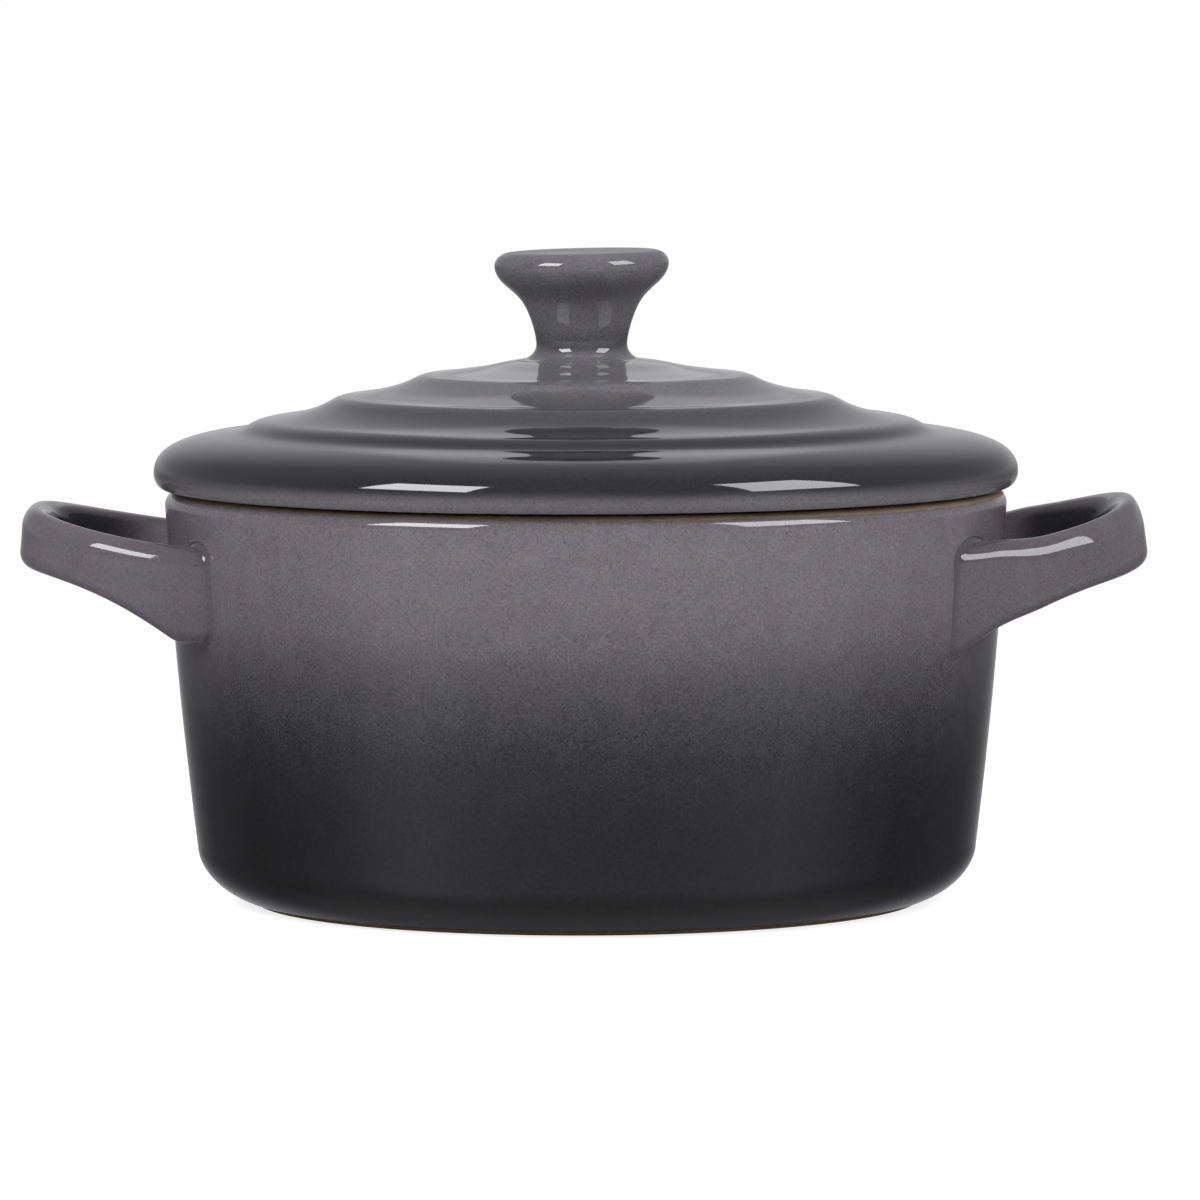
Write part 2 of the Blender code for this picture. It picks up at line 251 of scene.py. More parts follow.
def lid_profile():
    pad_z = dome_z(PAD_R)
    points = [(0.0, pad_z), (4.0, pad_z)]
    for r in span(PAD_R, 16.0, 10):
        points.append((r, dome_z(r)))
    for r in span(16.0, SHOULDER_R, 96)[1:]:
        points.append((r, dome_z(r)))
    points += shoulder(56)[1:]
    points += lip(10)
    low = SEAT_Z - FLANGE_DEPTH
    points += [(48.0, SEAT_Z), (46.0, SEAT_Z)]
    points += quarter(FLANGE_R + 0.7, SEAT_Z - 0.7, 0.7, 0.7, 90, 180, 6)
    points += quarter(FLANGE_R - 1.4, low + 1.2, 1.4, 1.2, 0, -90, 8)
    points += quarter(FLANGE_IN_R + 0.6, low + 1.2, 1.1, 1.2, -90, -180, 8)
    inner_r = FLANGE_IN_R - 0.9
    inner_z = UNDER_Z - UNDER_BOW * inner_r * inner_r
    points += [(FLANGE_IN_R - 0.5 - 0.4 * t, low + 1.2 + (inner_z - low - 1.2) * t) for t in (0.3, 0.6)]
    corner = len(points)
    points.append((inner_r, inner_z))
    for r in span(inner_r, 0.0, 26)[1:]:
        points.append((r, UNDER_Z - UNDER_BOW * r * r))
    return rounded(points, corner, 1.4, 8)


def swell(u):
    return 1 / (1 + math.exp(-(u - CAP_AT) / CAP_SOFT))


def flare_r(z):
    u = (z - KNOB_NECK_Z) / (KNOB_WIDE_Z - KNOB_NECK_Z)
    cap = (swell(u) - swell(0)) / (swell(1) - swell(0))
    stem = KNOB_STEM * math.sin(0.5 * math.pi * min(max(u, 0.0), 1.0)) ** STEM_EASE
    r = KNOB_NECK_R + stem + (KNOB_R - KNOB_NECK_R - KNOB_STEM) * cap
    return KNOB_R + KNOB_ROLL - math.hypot(KNOB_R - r, KNOB_ROLL)


def knob_base_z():
    return dome_z(PAD_R) + GAP


def knob_profile():
    """The knob's outline, with heights counted from its CAD base; the slip fillet below it runs into the lid."""
    base_z = knob_base_z()
    points = []
    for r in span(0.0, KNOB_TOP_R, 14)[:-1]:
        points.append((r, KNOB_TOP_Z - KNOB_DISH * (1 - smooth(0.25, 1.0, r / KNOB_TOP_R))))
    points += quarter(
        KNOB_TOP_R, KNOB_WIDE_Z, KNOB_R - KNOB_TOP_R, KNOB_TOP_Z - KNOB_WIDE_Z, 90, 0, 20
    )
    for t in span(0.0, 1.0, 52)[1:]:
        z = KNOB_WIDE_Z + (KNOB_NECK_Z - KNOB_WIDE_Z) * t
        points.append((flare_r(z), z))
    neck_r = flare_r(KNOB_NECK_Z)
    foot_r = KNOB_BASE_R + 0.4
    foot_z = dome_z(foot_r)
    rise = KNOB_NECK_Z - foot_z
    for t in span(0, 90, 18)[1:]:
        a = math.radians(t)
        points.append((foot_r - (foot_r - neck_r) * math.cos(a), KNOB_NECK_Z - rise * math.sin(a)))
    points += [(foot_r + 0.5, dome_z(foot_r + 0.5) - 0.06), (foot_r + 0.4, dome_z(foot_r) - 0.5), (0.0, foot_z - 0.5)]
    return [(r, z - base_z) for r, z in points]


def strap_edges(x, side):
    """Heights of the strap's upper and lower edge."""
    _, _, top, bottom, level, _, _, _, _ = LOOPS[side]
    d = x - HANDLE_REF_X
    low = level + 0.4 * math.log1p(math.exp((d - level) / 0.4)) if d - level < 8 else d
    return top[0] + top[1] * d + top[2] * d * d, bottom[0] + bottom[1] * low + bottom[2] * low * low


def mesh_object(name, verts, faces, attributes=None):
    mesh = bpy.data.meshes.new(name)
    mesh.from_pydata([tuple(c * MM for c in v) for v in verts], [], faces)
    mesh.validate()
    mesh.shade_smooth()
    for key, values in (attributes or {}).items():
        layer = mesh.attributes.new(key, "FLOAT", "POINT")
        layer.data.foreach_set("value", values)
    obj = bpy.data.objects.new(name, mesh)
    bpy.context.scene.collection.objects.link(obj)
    return obj


def uneven(p, seed, amount):
    """A slow unevenness of hand-finished clay, in millimetres."""
    q = Vector(p)
    return amount * (
        noise.noise(q / 21.0 + Vector((seed, 0.7, 1.9))) + 0.45 * noise.noise(q / 8.0 + Vector((3.1, seed, 0.4)))
    )


def turned(name, profile, steps, seed, amount, keep, marks=None):
    """A piece turned about the Z axis. keep(r, z) is 0 where the surface has to stay true, 1 where it may be uneven."""
    verts, faces, rows, values = [], [], [], {key: [] for key in (marks or {})}
    count = len(profile)
    for i, (r, z) in enumerate(profile):
        a, b = profile[max(i - 1, 0)], profile[min(i + 1, count - 1)]
        dr, dz = b[0] - a[0], b[1] - a[1]
        length = math.hypot(dr, dz) or 1.0
        nr, nz = dz / length, -dr / length
        free = keep(r, z) * amount
        row = []
        for k in range(1 if r < 1e-6 else steps):
            angle = 2 * math.pi * k / steps
            c, s = math.cos(angle), math.sin(angle)
            shift = uneven((r * c, r * s, z), seed, free) if free else 0.0
            rr, zz = (r + nr * shift, z + nz * shift) if r > 1e-6 else (0.0, z)
            row.append(len(verts))
            verts.append((rr * c, rr * s, zz))
            for key, rule in (marks or {}).items():
                values[key].append(rule(i, r, z))
        rows.append(row)
    for a, b in zip(rows, rows[1:]):
        for k in range(steps):
            j = (k + 1) % steps
            if len(a) == 1:
                faces.append((a[0], b[k], b[j]))
            elif len(b) == 1:
                faces.append((a[j], a[k], b[0]))
            else:
                faces.append((a[k], b[k], b[j], a[j]))
    return verts, faces, values


def strap_section(half_t, half_h, edge):
    """Across and up offsets round the strap's section: flat sides with fully rounded edges."""
    high, low = half_h - edge, STRAP_EDGE - half_h
    points = []
    for t in span(0, 180, 20):
        a = math.radians(t)
        points.append((half_t * math.cos(a), high + edge * math.sin(a)))
    side = span(high, low, 10)[1:-1]
    points += [(-half_t, u) for u in side]
    for t in span(180, 360, 20):
        a = math.radians(t)
        points.append((half_t * math.cos(a), low + STRAP_EDGE * math.sin(a)))
    points += [(half_t, u) for u in reversed(side)]
    return points


def strap_loop(side, shrink, fillet, seed):
    """Vertices and faces of one loop, its roots rounded over and run into the pot's wall."""
    end, (start, half_width, taper, p, q), _, _, _, drafts, end_t, edges, lean = LOOPS[side]
    reach = end - end_t / 2

    def plan(x):
        """Distance of the strap's centre line from the middle of the loop, and how fast it closes in."""
        u = min(max((x - start) / (reach - start), 1e-6), 1 - 1e-9)
        wide, left = half_width - taper * u * (reach - start), 1 - u**p
        slope = taper * left ** (1 / q) + wide * p / q / (reach - start) * u ** (p - 1) * left ** (1 / q - 1)
        return wide * left ** (1 / q), slope

    def section_at(cx, pinch=0.0):
        along = min(max((cx - 46.0) / (end - 46.0), 0.0), 1.0)
        half_t = 0.5 * (STRAP_ROOT_T + (end_t - STRAP_ROOT_T) * along) - pinch * 0.45
        top, bottom = strap_edges(cx, side)
        half_h = 0.5 * (top - bottom) - pinch
        root, bow = drafts[0] * smooth(52.0, 45.5, cx), drafts[1] * smooth(46.0, 62.0, cx)
        edge = edges[0] + (edges[1] - edges[0]) * smooth(55.0, 64.0, cx)
        ring = []
        for across, up in strap_section(half_t, half_h, edge):
            lean_in = root * (up - 0.5 * half_h) + bow * (up + half_h)
            ring.append((across - lean_in * max(across, 0.0) / half_t, up))
        return 0.5 * (top + bottom), ring

    def leg_point(index, x, y_sign, pinch):
        mid, ring = section_at(x, pinch)
        across, up = ring[index]
        y, slope = plan(x)
        n = math.hypot(1.0, slope)
        return Vector((x + across * slope / n, y_sign * (y + across / n), mid + up))

    def root(index, y_sign):
        """Where the leg line of one section point meets the wall."""
        x = 45.0
        for _ in range(16):
            p = leg_point(index, x, y_sign, 0.0)
            x += 0.7 * (math.sqrt(max(wall_r(p.z) ** 2 - p.y**2, 1.0)) - p.x)
        return x

    count = len(strap_section(2.3, 5.0, 2.0))

    def rounding(distance):
        if distance >= shrink:
            return 0.0
        q = (shrink - distance) / shrink
        return 0.62 * shrink * (1 - math.sqrt(1 - q * q))

    def leg_rings(y_sign):
        """Rings from inside the wall out to where the bow starts."""
        steps = 14
        curve_steps = 9
        lines = []
        for index in range(count):
            xw = root(index, y_sign)
            across, up = section_at(xw)[1][index]
            high = section_at(xw)[1][10][1]
            soft = fillet * (1 + 0.5 * smooth(0.0, 1.0, -up / high)) + 0.7 * smooth(0.3, 1.0, up / high)
            soft += 0.8 * smooth(0.3, 1.0, -across / 2.4)
            line = []
            far = HANDLE_BOW_X - xw
            for k in range(steps):
                q = (k / steps) ** 1.6
                d = soft + (far - soft) * q
                line.append(leg_point(index, xw + d, y_sign, rounding(d)))
            p0 = line[0]
            corner = leg_point(index, xw, y_sign, rounding(soft))
            cr = math.hypot(corner.x, corner.y)
            corner = Vector((corner.x * wall_r(corner.z) / cr, corner.y * wall_r(corner.z) / cr, corner.z))
            out = Vector((0.0, y_sign * across / 2.4, max(-1.0, min(1.0, up / (STRAP_EDGE + 1.5)))))
            radial = Vector((corner.x, corner.y, 0.0)).normalized()
            out -= radial * out.dot(radial)
            out = out.normalized() if out.length > 1e-6 else Vector((0.0, 0.0, 1.0))
            foot = corner + out * soft
            fr = math.hypot(foot.x, foot.y)
            target = wall_r(foot.z)
            foot = Vector((foot.x * target / fr, foot.y * target / fr, foot.z))
            curve = []
            for t in span(0.0, 1.0, curve_steps)[1:]:
                curve.append(p0 * (1 - t) ** 2 + corner * (2 * t * (1 - t)) + foot * (t * t))
            sunk = foot + out * 0.15
            sr = math.hypot(sunk.x, sunk.y)
            target = wall_r(sunk.z) - 0.25
            curve.append(Vector((sunk.x * target / sr, sunk.y * target / sr, sunk.z)))
            lines.append(list(reversed(curve)) + line)
        return [[lines[i][k] for i in range(count)] for k in range(len(lines[0]))]

    rings = leg_rings(-1)
    for k in range(-36, 37):
        t = 0.5 * math.pi * (abs(k) / 36) ** 1.3
        cx = HANDLE_BOW_X + (reach - HANDLE_BOW_X) * math.cos(t)
        y, slope = plan(cx) if k else (0.0, 1e9)
        cy = math.copysign(y, k)
        length = math.hypot(slope, 1.0)
        nx, ny = slope / length, math.copysign(1.0 / length, k)
        mid, ring = section_at(cx)
        rings.append([Vector((cx + nx * a, cy + ny * a, mid + u)) for a, u in ring])
    rings += list(reversed(leg_rings(1)))

    verts, faces, inner, root_shade = [], [], [], []
    deep = 3.8 if side > 0 else 3.9
    # the inner mark picks out the strap's inside faces, which get painted light and painted shade
    inward = [smooth(0.2, 0.95, -across) * smooth(4.8, deep, up) for across, up in strap_section(1.0, 5.0, 2.0)]
    for k, ring in enumerate(rings):
        inner += inward
        near = min(k, len(rings) - 1 - k)
        # a mark along the roots for the painted shade of the hollow there
        root_shade += [smooth(0, 3, near) * smooth(13, 7, near)] * count
        centre = sum(ring, Vector()) / count
        for i, p in enumerate(ring):
            out = (p - centre).normalized()
            away = smooth(0, 26, k) * smooth(0, 26, len(rings) - 1 - k)
            q = p + out * (uneven(p, seed, 0.04) - 0.04) * away
            verts.append((side * q.x, q.y, q.z + lean * q.y * smooth(47.5, 54.0, q.x)))
    for k in range(len(rings) - 1):
        for i in range(count):
            j = (i + 1) % count
            face = (k * count + i, k * count + j, (k + 1) * count + j, (k + 1) * count + i)
            faces.append(face if side < 0 else tuple(reversed(face)))
    first = tuple(range(count))
    last = tuple((len(rings) - 1) * count + i for i in range(count))
    faces.append(tuple(reversed(first)) if side < 0 else first)
    faces.append(last if side < 0 else tuple(reversed(last)))
    return verts, faces, {"inner": inner, "root_shade": root_shade}


# ---------------------------------------------------------------- materials


class Graph:
    """Short hand for building a node tree."""

    def __init__(self, tree):
        self.tree = tree
        self.links = tree.links

    def node(self, kind, **settings):
        made = self.tree.nodes.new(kind)
        for key, value in settings.items():
            setattr(made, key, value)
        return made

    def feed(self, socket, value):
        if isinstance(value, bpy.types.NodeSocket):
            self.links.new(value, socket)
        else:
            socket.default_value = value

    def math(self, operation, a, b=0.0, clamp=False):
        made = self.node("ShaderNodeMath", operation=operation, use_clamp=clamp)
        self.feed(made.inputs[0], a)
        self.feed(made.inputs[1], b)
        return made.outputs[0]

    def ranged(self, value, low, high, to_low=0.0, to_high=1.0, kind="SMOOTHSTEP"):
        made = self.node("ShaderNodeMapRange", interpolation_type=kind, clamp=True)
        for socket, v in zip(made.inputs, (value, low, high, to_low, to_high)):
            self.feed(socket, v)
        return made.outputs[0]

    def mix(self, factor, a, b, blend="MIX"):
        made = self.node("ShaderNodeMix", data_type="RGBA", blend_type=blend)
        self.feed(made.inputs[0], factor)
        self.feed(made.inputs[6], a)
        self.feed(made.inputs[7], b)
        return made.outputs[2]

    def ramp(self, factor, stops, kind="EASE"):
        made = self.node("ShaderNodeValToRGB")
        made.color_ramp.interpolation = kind
        elements = made.color_ramp.elements
        while len(elements) > 1:
            elements.remove(elements[-1])
        for i, (at, colour) in enumerate(stops):
            item = elements[0] if i == 0 else elements.new(at)
            item.position = at
            item.color = (*colour, 1.0)
        self.feed(made.inputs[0], factor)
        return made.outputs[0]

    def noise(self, vector, scale, detail=2.0, roughness=0.5):
        made = self.node("ShaderNodeTexNoise", noise_dimensions="3D")
        self.feed(made.inputs["Vector"], vector)
        self.feed(made.inputs["Scale"], scale)
        self.feed(made.inputs["Detail"], detail)
        self.feed(made.inputs["Roughness"], roughness)
        return made.outputs[0]

    def cells(self, vector, scale, randomness=1.0):
        made = self.node("ShaderNodeTexVoronoi", feature="F1", distance="EUCLIDEAN")
        self.feed(made.inputs["Vector"], vector)
        self.feed(made.inputs["Scale"], scale)
        self.feed(made.inputs["Randomness"], randomness)
        return made.outputs["Distance"], made.outputs["Color"]

    def grey(self, value):
        made = self.node("ShaderNodeCombineColor")
        for k in range(3):
            self.feed(made.inputs[k], value)
        return made.outputs[0]

    def mark(self, name):
        return self.node("ShaderNodeAttribute", attribute_name=name, attribute_type="GEOMETRY").outputs["Fac"]


MAUVE = (0.0894, 0.0805, 0.0900)
DUSK = (0.0845, 0.0805, 0.0862)
GREY = (0.0835, 0.0835, 0.0900)
SLATE = (0.0905, 0.0880, 0.0965)
CLAY = (0.210, 0.150, 0.098)


def glaze(name, tone, bare=None, worn=None, ior=1.5, speckle=0.66, dusting=0.78, foot_shade_z=None):
    """A sprayed glossy glaze. tone gives its colour from the graph, the place in millimetres and the spray's grain.

    speckle is the strength of the grain and dusting how much stronger it shows where the glaze is dark. The last
    argument is the height in millimetres up to which the gloss fades out towards the foot: painted shade, standing in
    for the dark floor under the pot that it would mirror.
    """
    material = bpy.data.materials.new(name)
    material.use_nodes = True
    tree = material.node_tree
    g = Graph(tree)
    shader = tree.nodes["Principled BSDF"]
    coords = g.node("ShaderNodeTexCoord").outputs["Object"]
    split = g.node("ShaderNodeSeparateXYZ")
    g.feed(split.inputs[0], coords)
    x, y, z = (g.math("MULTIPLY", split.outputs[k], 1000.0) for k in range(3))

    # grain of the spray: droplets of about 0.35 mm, clouds of a few millimetres and slow drifts
    drops = g.noise(coords, 3800.0, 1.5, 0.6)
    fine = g.math("MULTIPLY", g.math("SUBTRACT", drops, 0.5), 2.0)
    cloud = g.math("MULTIPLY", g.math("SUBTRACT", g.noise(coords, 330.0, 2.0, 0.55), 0.5), 2.0)
    drift = g.math("MULTIPLY", g.math("SUBTRACT", g.noise(coords, 62.0, 1.0, 0.5), 0.5), 2.0)

    colour = tone(g, (x, y, z), (fine, cloud, drift))

    # where the glaze is light, its hue wanders between a pinkish and a cooler grey over two to four millimetres
    depth = g.node("ShaderNodeSeparateColor")
    g.feed(depth.inputs[0], colour)
    light = g.ranged(depth.outputs[1], 0.012, 0.050)
    hue = g.noise(coords, 400.0, 1.0, 0.5)
    warm = g.math("MULTIPLY", light, g.ranged(hue, 0.50, 0.72))
    cool = g.math("MULTIPLY", light, g.ranged(hue, 0.50, 0.30))
    colour = g.mix(1.0, colour, g.mix(warm, (1, 1, 1, 1), (1.026, 0.982, 1.0, 1)), "MULTIPLY")
    colour = g.mix(1.0, colour, g.mix(cool, (1, 1, 1, 1), (0.968, 1.008, 1.0, 1)), "MULTIPLY")
    # light and dark grain, with fine dark pits of the melt in it
    dim = g.ranged(depth.outputs[1], 0.05, 0.008)
    grain = g.math("ADD", g.math("MULTIPLY", fine, 0.8), g.math("MULTIPLY", cloud, 0.2))
    grain = g.math("MULTIPLY", grain, g.math("ADD", speckle, g.math("MULTIPLY", dim, dusting)))
    pits = g.ranged(g.noise(coords, 2300.0, 1.0, 0.5), 0.36, 0.22, 1.0, 0.74)
    colour = g.mix(1.0, colour, g.grey(g.math("MULTIPLY", g.math("ADD", 1.0, grain), pits)), "MULTIPLY")
    # the glaze draws thin over sharp edges and the clay warms it there
    thin = g.mark("thin")
    colour = g.mix(g.math("MULTIPLY", thin, 0.3), colour, (0.128, 0.110, 0.100, 1))

    rough = g.ranged(g.noise(coords, 900.0, 2.0, 0.6), 0.3, 0.7, 0.035, 0.06, "LINEAR")
    if worn is not None:
        rough = g.math("ADD", rough, g.math("MULTIPLY", worn(g, (x, y, z), (fine, cloud, drift)), 0.3))
    height = g.math("ADD", g.math("MULTIPLY", g.noise(coords, 420.0, 1.0, 0.5), 0.6), g.math("MULTIPLY", drops, 0.02))
    bump = g.node("ShaderNodeBump")
    bump.inputs["Strength"].default_value = 0.05
    bump.inputs["Distance"].default_value = 0.00006
    g.feed(bump.inputs["Height"], height)
    normal = bump.outputs[0]

    if bare is not None:
        mask = bare(g, (x, y, z), (fine, cloud, drift))
        sand = g.noise(coords, 3200.0, 3.0, 0.65)
        clay = g.ramp(sand, ((0.30, tuple(c * 0.72 for c in CLAY)), (0.55, CLAY), (0.75, tuple(c * 1.18 for c in CLAY))), "LINEAR")
        stain = g.ranged(g.noise(coords, 260.0, 2.0, 0.6), 0.40, 0.70)
        clay = g.mix(g.math("MULTIPLY", stain, 0.5), clay, (0.110, 0.072, 0.045, 1))
        colour = g.mix(mask, colour, clay)
        rough = g.math("ADD", rough, g.math("MULTIPLY", mask, 0.7))
        grit = g.node("ShaderNodeBump")
        grit.inputs["Distance"].default_value = 0.00008
        g.feed(grit.inputs["Strength"], g.math("MULTIPLY", mask, 0.5))
        g.feed(grit.inputs["Height"], sand)
        g.feed(grit.inputs["Normal"], normal)
        normal = grit.outputs[0]

    g.feed(shader.inputs["Base Color"], colour)
    g.feed(shader.inputs["Roughness"], rough)
    g.feed(shader.inputs["Normal"], normal)
    shader.inputs["IOR"].default_value = ior
    # painted shade: less gloss just above the foot, in place of the shadowed floor it would mirror
    if foot_shade_z is not None:
        g.feed(shader.inputs["Specular IOR Level"], g.ranged(z, 0.55, foot_shade_z, 0.0, 0.5))
    return material


def radius_of(g, place):
    x, y, _ = place
    return g.math("SQRT", g.math("ADD", g.math("MULTIPLY", x, x), g.math("MULTIPLY", y, y)))


def shade(k, tint=MAUVE):
    return tuple(c * k for c in tint)


def drifted(g, value, grain, fine_mm, cloud_mm, drift_mm):
    """A place in millimetres, made to wander with the grain of the spray."""
    for part, size in zip(grain, (fine_mm, cloud_mm, drift_mm)):
        value = g.math("ADD", value, g.math("MULTIPLY", part, size))
    return value


def pot_tone(g, place, grain):
    """Light at the rim, sprayed down to charcoal below the middle."""
    z = place[2]
    stops = (
        (0.0, shade(0.05, GREY)),
        (0.22, shade(0.055, GREY)),
        (0.31, shade(0.076, GREY)),
        (0.40, shade(0.132, GREY)),
        (0.454, shade(0.20, GREY)),
        (0.50, shade(0.28, DUSK)),
        (0.548, shade(0.383, DUSK)),
        (0.594, shade(0.50, DUSK)),
        (0.642, shade(0.65)),
        (0.688, shade(0.82)),
        (0.788, shade(0.985)),
        (0.882, shade(1.05)),
    )
    # painted shade: on the left the wall is made a little darker and its light band ends a little higher
    left = g.math("MULTIPLY", g.ranged(place[0], -18.0, -32.0), g.ranged(place[0], -47.0, -36.0))
    at = g.math("SUBTRACT", drifted(g, z, grain, 1.5, 0.4, 0.8), g.math("MULTIPLY", left, 0.8))
    outer = g.ramp(g.math("MULTIPLY", at, 0.02), stops, "LINEAR")
    outer = g.mix(1.0, outer, g.grey(g.math("SUBTRACT", 1.0, g.math("MULTIPLY", left, 0.06))), "MULTIPLY")
    # the inside is glazed in the light tone all over
    wall = g.math("SUBTRACT", radius_of(g, place), g.math("ADD", g.math("MULTIPLY", z, 0.12), 41.6))
    inside = g.math("MULTIPLY", g.ranged(wall, 0.6, -0.6), g.ranged(z, 2.5, 3.5))
    return g.mix(inside, outer, (*shade(1.05), 1))


def pot_bare(g, place, grain):
    z = drifted(g, place[2], grain, 0.06, 0.14, 0.16)
    edge = g.math("ADD", z, g.math("MULTIPLY", place[0], 0.004))
    rim = g.ranged(edge, 48.35, 48.60)
    foot = g.math("MULTIPLY", g.ranged(z, 0.62, 0.40), g.ranged(radius_of(g, place), 33.4, 34.0))
    return g.math("MAXIMUM", rim, foot)


def lid_tone(g, place, grain):
    """Lighter round the knob and on the lip, darkest on the shoulder."""
    z, round_r = place[2], radius_of(g, place)
    stops = (
        (0.0, shade(0.90, SLATE)),
        (0.30, shade(0.94, SLATE)),
        (0.42, shade(0.90, SLATE)),
        (0.52, shade(0.62, SLATE)),
        (0.64, shade(0.33, GREY)),
        (0.80, shade(0.19, GREY)),
        (0.92, shade(0.18, GREY)),
        (1.0, shade(0.19, GREY)),
    )
    top = g.ramp(g.math("MULTIPLY", drifted(g, round_r, grain, 0.5, 0.5, 1.0), 0.02), stops, "LINEAR")
    level = drifted(g, z, grain, 0.18, 0.1, 0.25)
    edge = g.math("MULTIPLY", g.ranged(level, 52.0, 49.9), g.ranged(round_r, 47.5, 49.0))
    colour = g.mix(edge, top, (*shade(1.0, DUSK), 1))
    under = g.ranged(g.math("ADD", z, g.math("MULTIPLY", round_r, 0.16)), 62.0, 61.0)
    under = g.math("MULTIPLY", under, g.ranged(round_r, 46.0, 44.0))
    return g.mix(under, colour, (*shade(1.05), 1))


def lid_bare(g, place, grain):
    r = drifted(g, radius_of(g, place), grain, 0.0, 0.25, 0.3)
    ring = g.math("MULTIPLY", g.ranged(r, 44.3, 44.9), g.ranged(r, 49.5, 49.0))
    return g.math("MULTIPLY", ring, g.ranged(place[2], SEAT_Z + 0.4, SEAT_Z + 0.1))


def strap_tone(g, place, grain):
    """Light outside, with painted shade in the eye of the loop."""
    at = drifted(g, place[2], grain, 1.0, 0.7, 1.0)
    stops = ((0.0, shade(0.45)), (0.60, shade(0.62)), (0.68, shade(0.75)), (0.76, shade(0.85)), (1.0, shade(0.89)))
    outer = g.ramp(g.math("MULTIPLY", at, 0.02), stops, "LINEAR")
    # the loop on the right is a little darker all over
    outer = g.mix(1.0, outer, g.grey(g.ranged(place[0], 30.0, 44.0, 1.0, 0.89)), "MULTIPLY")
    # painted light: inside next to the wall it is lightest, standing in for light thrown back from the lit wall;
    # painted shade: farther out the eye goes dark, and on the left the dark starts farther out
    close = g.math("MULTIPLY", g.mark("inner"), g.ranged(g.math("ABSOLUTE", place[0]), 56.0, 51.0))
    outer = g.mix(close, outer, (*shade(1.3), 1))
    far = g.math("MAXIMUM", g.ranged(place[0], 49.5, 55.0), g.ranged(place[0], -50.5, -58.5))
    colour = g.mix(g.math("MULTIPLY", g.mark("inner"), far), outer, (*shade(0.23, GREY), 1))
    # painted shade in the hollow along the roots, where the strap meets the wall
    return g.mix(g.math("MULTIPLY", g.mark("root_shade"), 0.42), colour, (*shade(0.28, GREY), 1))


def knob_tone(g, place, grain):
    """Light, with painted shade in a dark band where the neck is narrowest, under the flare of the cap."""
    at = drifted(g, place[2], grain, 0.35, 0.2, 0.3)
    stops = (
        (0.0, shade(0.92, SLATE)),
        (0.13, shade(0.92, SLATE)),
        # the stops at 0.19 and 0.26 are painted shade under the flare of the cap
        (0.19, shade(0.52, SLATE)),
        (0.26, shade(0.60, SLATE)),
        (0.35, shade(0.90, SLATE)),
        (0.47, shade(0.96, SLATE)),
        (0.70, shade(0.98, SLATE)),
        (1.0, shade(0.92, SLATE)),
    )
    return g.ramp(g.ranged(at, 63.0, 78.0, 0.0, 1.0, "LINEAR"), stops, "LINEAR")


def knob_worn(g, place, grain):
    """The top of the knob has gone satin with handling."""
    return g.ranged(drifted(g, place[2], grain, 0.05, 0.1, 0.1), 76.55, 76.85)


# ---------------------------------------------------------------- studio


def add_camera():
    data = bpy.data.cameras.new("camera")
    data.lens = LENS
    data.sensor_width = 36.0
    data.clip_start, data.clip_end = 0.05, 50.0
    obj = bpy.data.objects.new("camera", data)
    bpy.context.scene.collection.objects.link(obj)
    pitch = math.atan2(VIEW_HEIGHT - VIEW_AIM_Z, VIEW_DISTANCE)
    right = Vector((1.0, 0.0, 0.0))
    back = Vector((0.0, -math.cos(pitch), math.sin(pitch)))
    up = back.cross(right)
    c, s = math.cos(VIEW_ROLL), math.sin(VIEW_ROLL)
    right, up = right * c - up * s, right * s + up * c
    turn = Matrix((right, up, back)).transposed().to_4x4()
    obj.matrix_world = Matrix.Translation(Vector((VIEW_X, -VIEW_DISTANCE, VIEW_HEIGHT)) * MM) @ turn
    bpy.context.scene.camera = obj


def add_softbox(name, azimuth, half_angle, low, high, distance, roll, radiance):
    """An upright panel that stands between two elevations, seen from the rim of the pot."""
    data = bpy.data.lights.new(name, "AREA")
    data.shape = "RECTANGLE"
    bottom, top = (distance * math.tan(math.radians(e)) for e in (low, high))
    data.size, data.size_y = 2 * distance * math.tan(math.radians(half_angle)), top - bottom
    data.energy = radiance * 4.0 * data.size * data.size_y
    data.color = (0.985, 0.975, 1.0)
    obj = bpy.data.objects.new(name, data)
    bpy.context.scene.collection.objects.link(obj)
    a = math.radians(azimuth)
    away = Vector((math.sin(a), -math.cos(a), 0.0))
    obj.location = away * distance + Vector((0.0, 0.0, 0.05 + 0.5 * (bottom + top)))
    obj.rotation_mode = "QUATERNION"
    obj.rotation_quaternion = away.to_track_quat("Z", "Y") @ Quaternion((0.0, 0.0, 1.0), math.radians(roll))
    obj.visible_camera = False
    return obj


# What the glaze mirrors of the room, by azimuth in degrees from the front, below the height of the pot
ROOM_LOW = (
    (-180, 0.50), (-171, 0.33), (-166, 0.26), (-162, 0.21), (-157, 0.16), (-151, 0.125), (-142, 0.10), (-114, 0.12),
    (-93, 0.22), (-78, 0.34), (-63, 0.58), (-50, 0.68), (-25, 0.53), (0, 0.48), (25, 0.48), (45, 0.56), (59, 0.60),
    (73, 0.50), (88, 0.27), (105, 0.14), (142, 0.10), (151, 0.125), (157, 0.16), (162, 0.21), (166, 0.26),
    (171, 0.33), (180, 0.50),
)
# and above it, by elevation in degrees
ROOM_HIGH = ((0, 0.72), (3, 0.56), (8, 0.48), (25, 0.42), (45, 0.37), (60, 0.32), (90, 0.29))


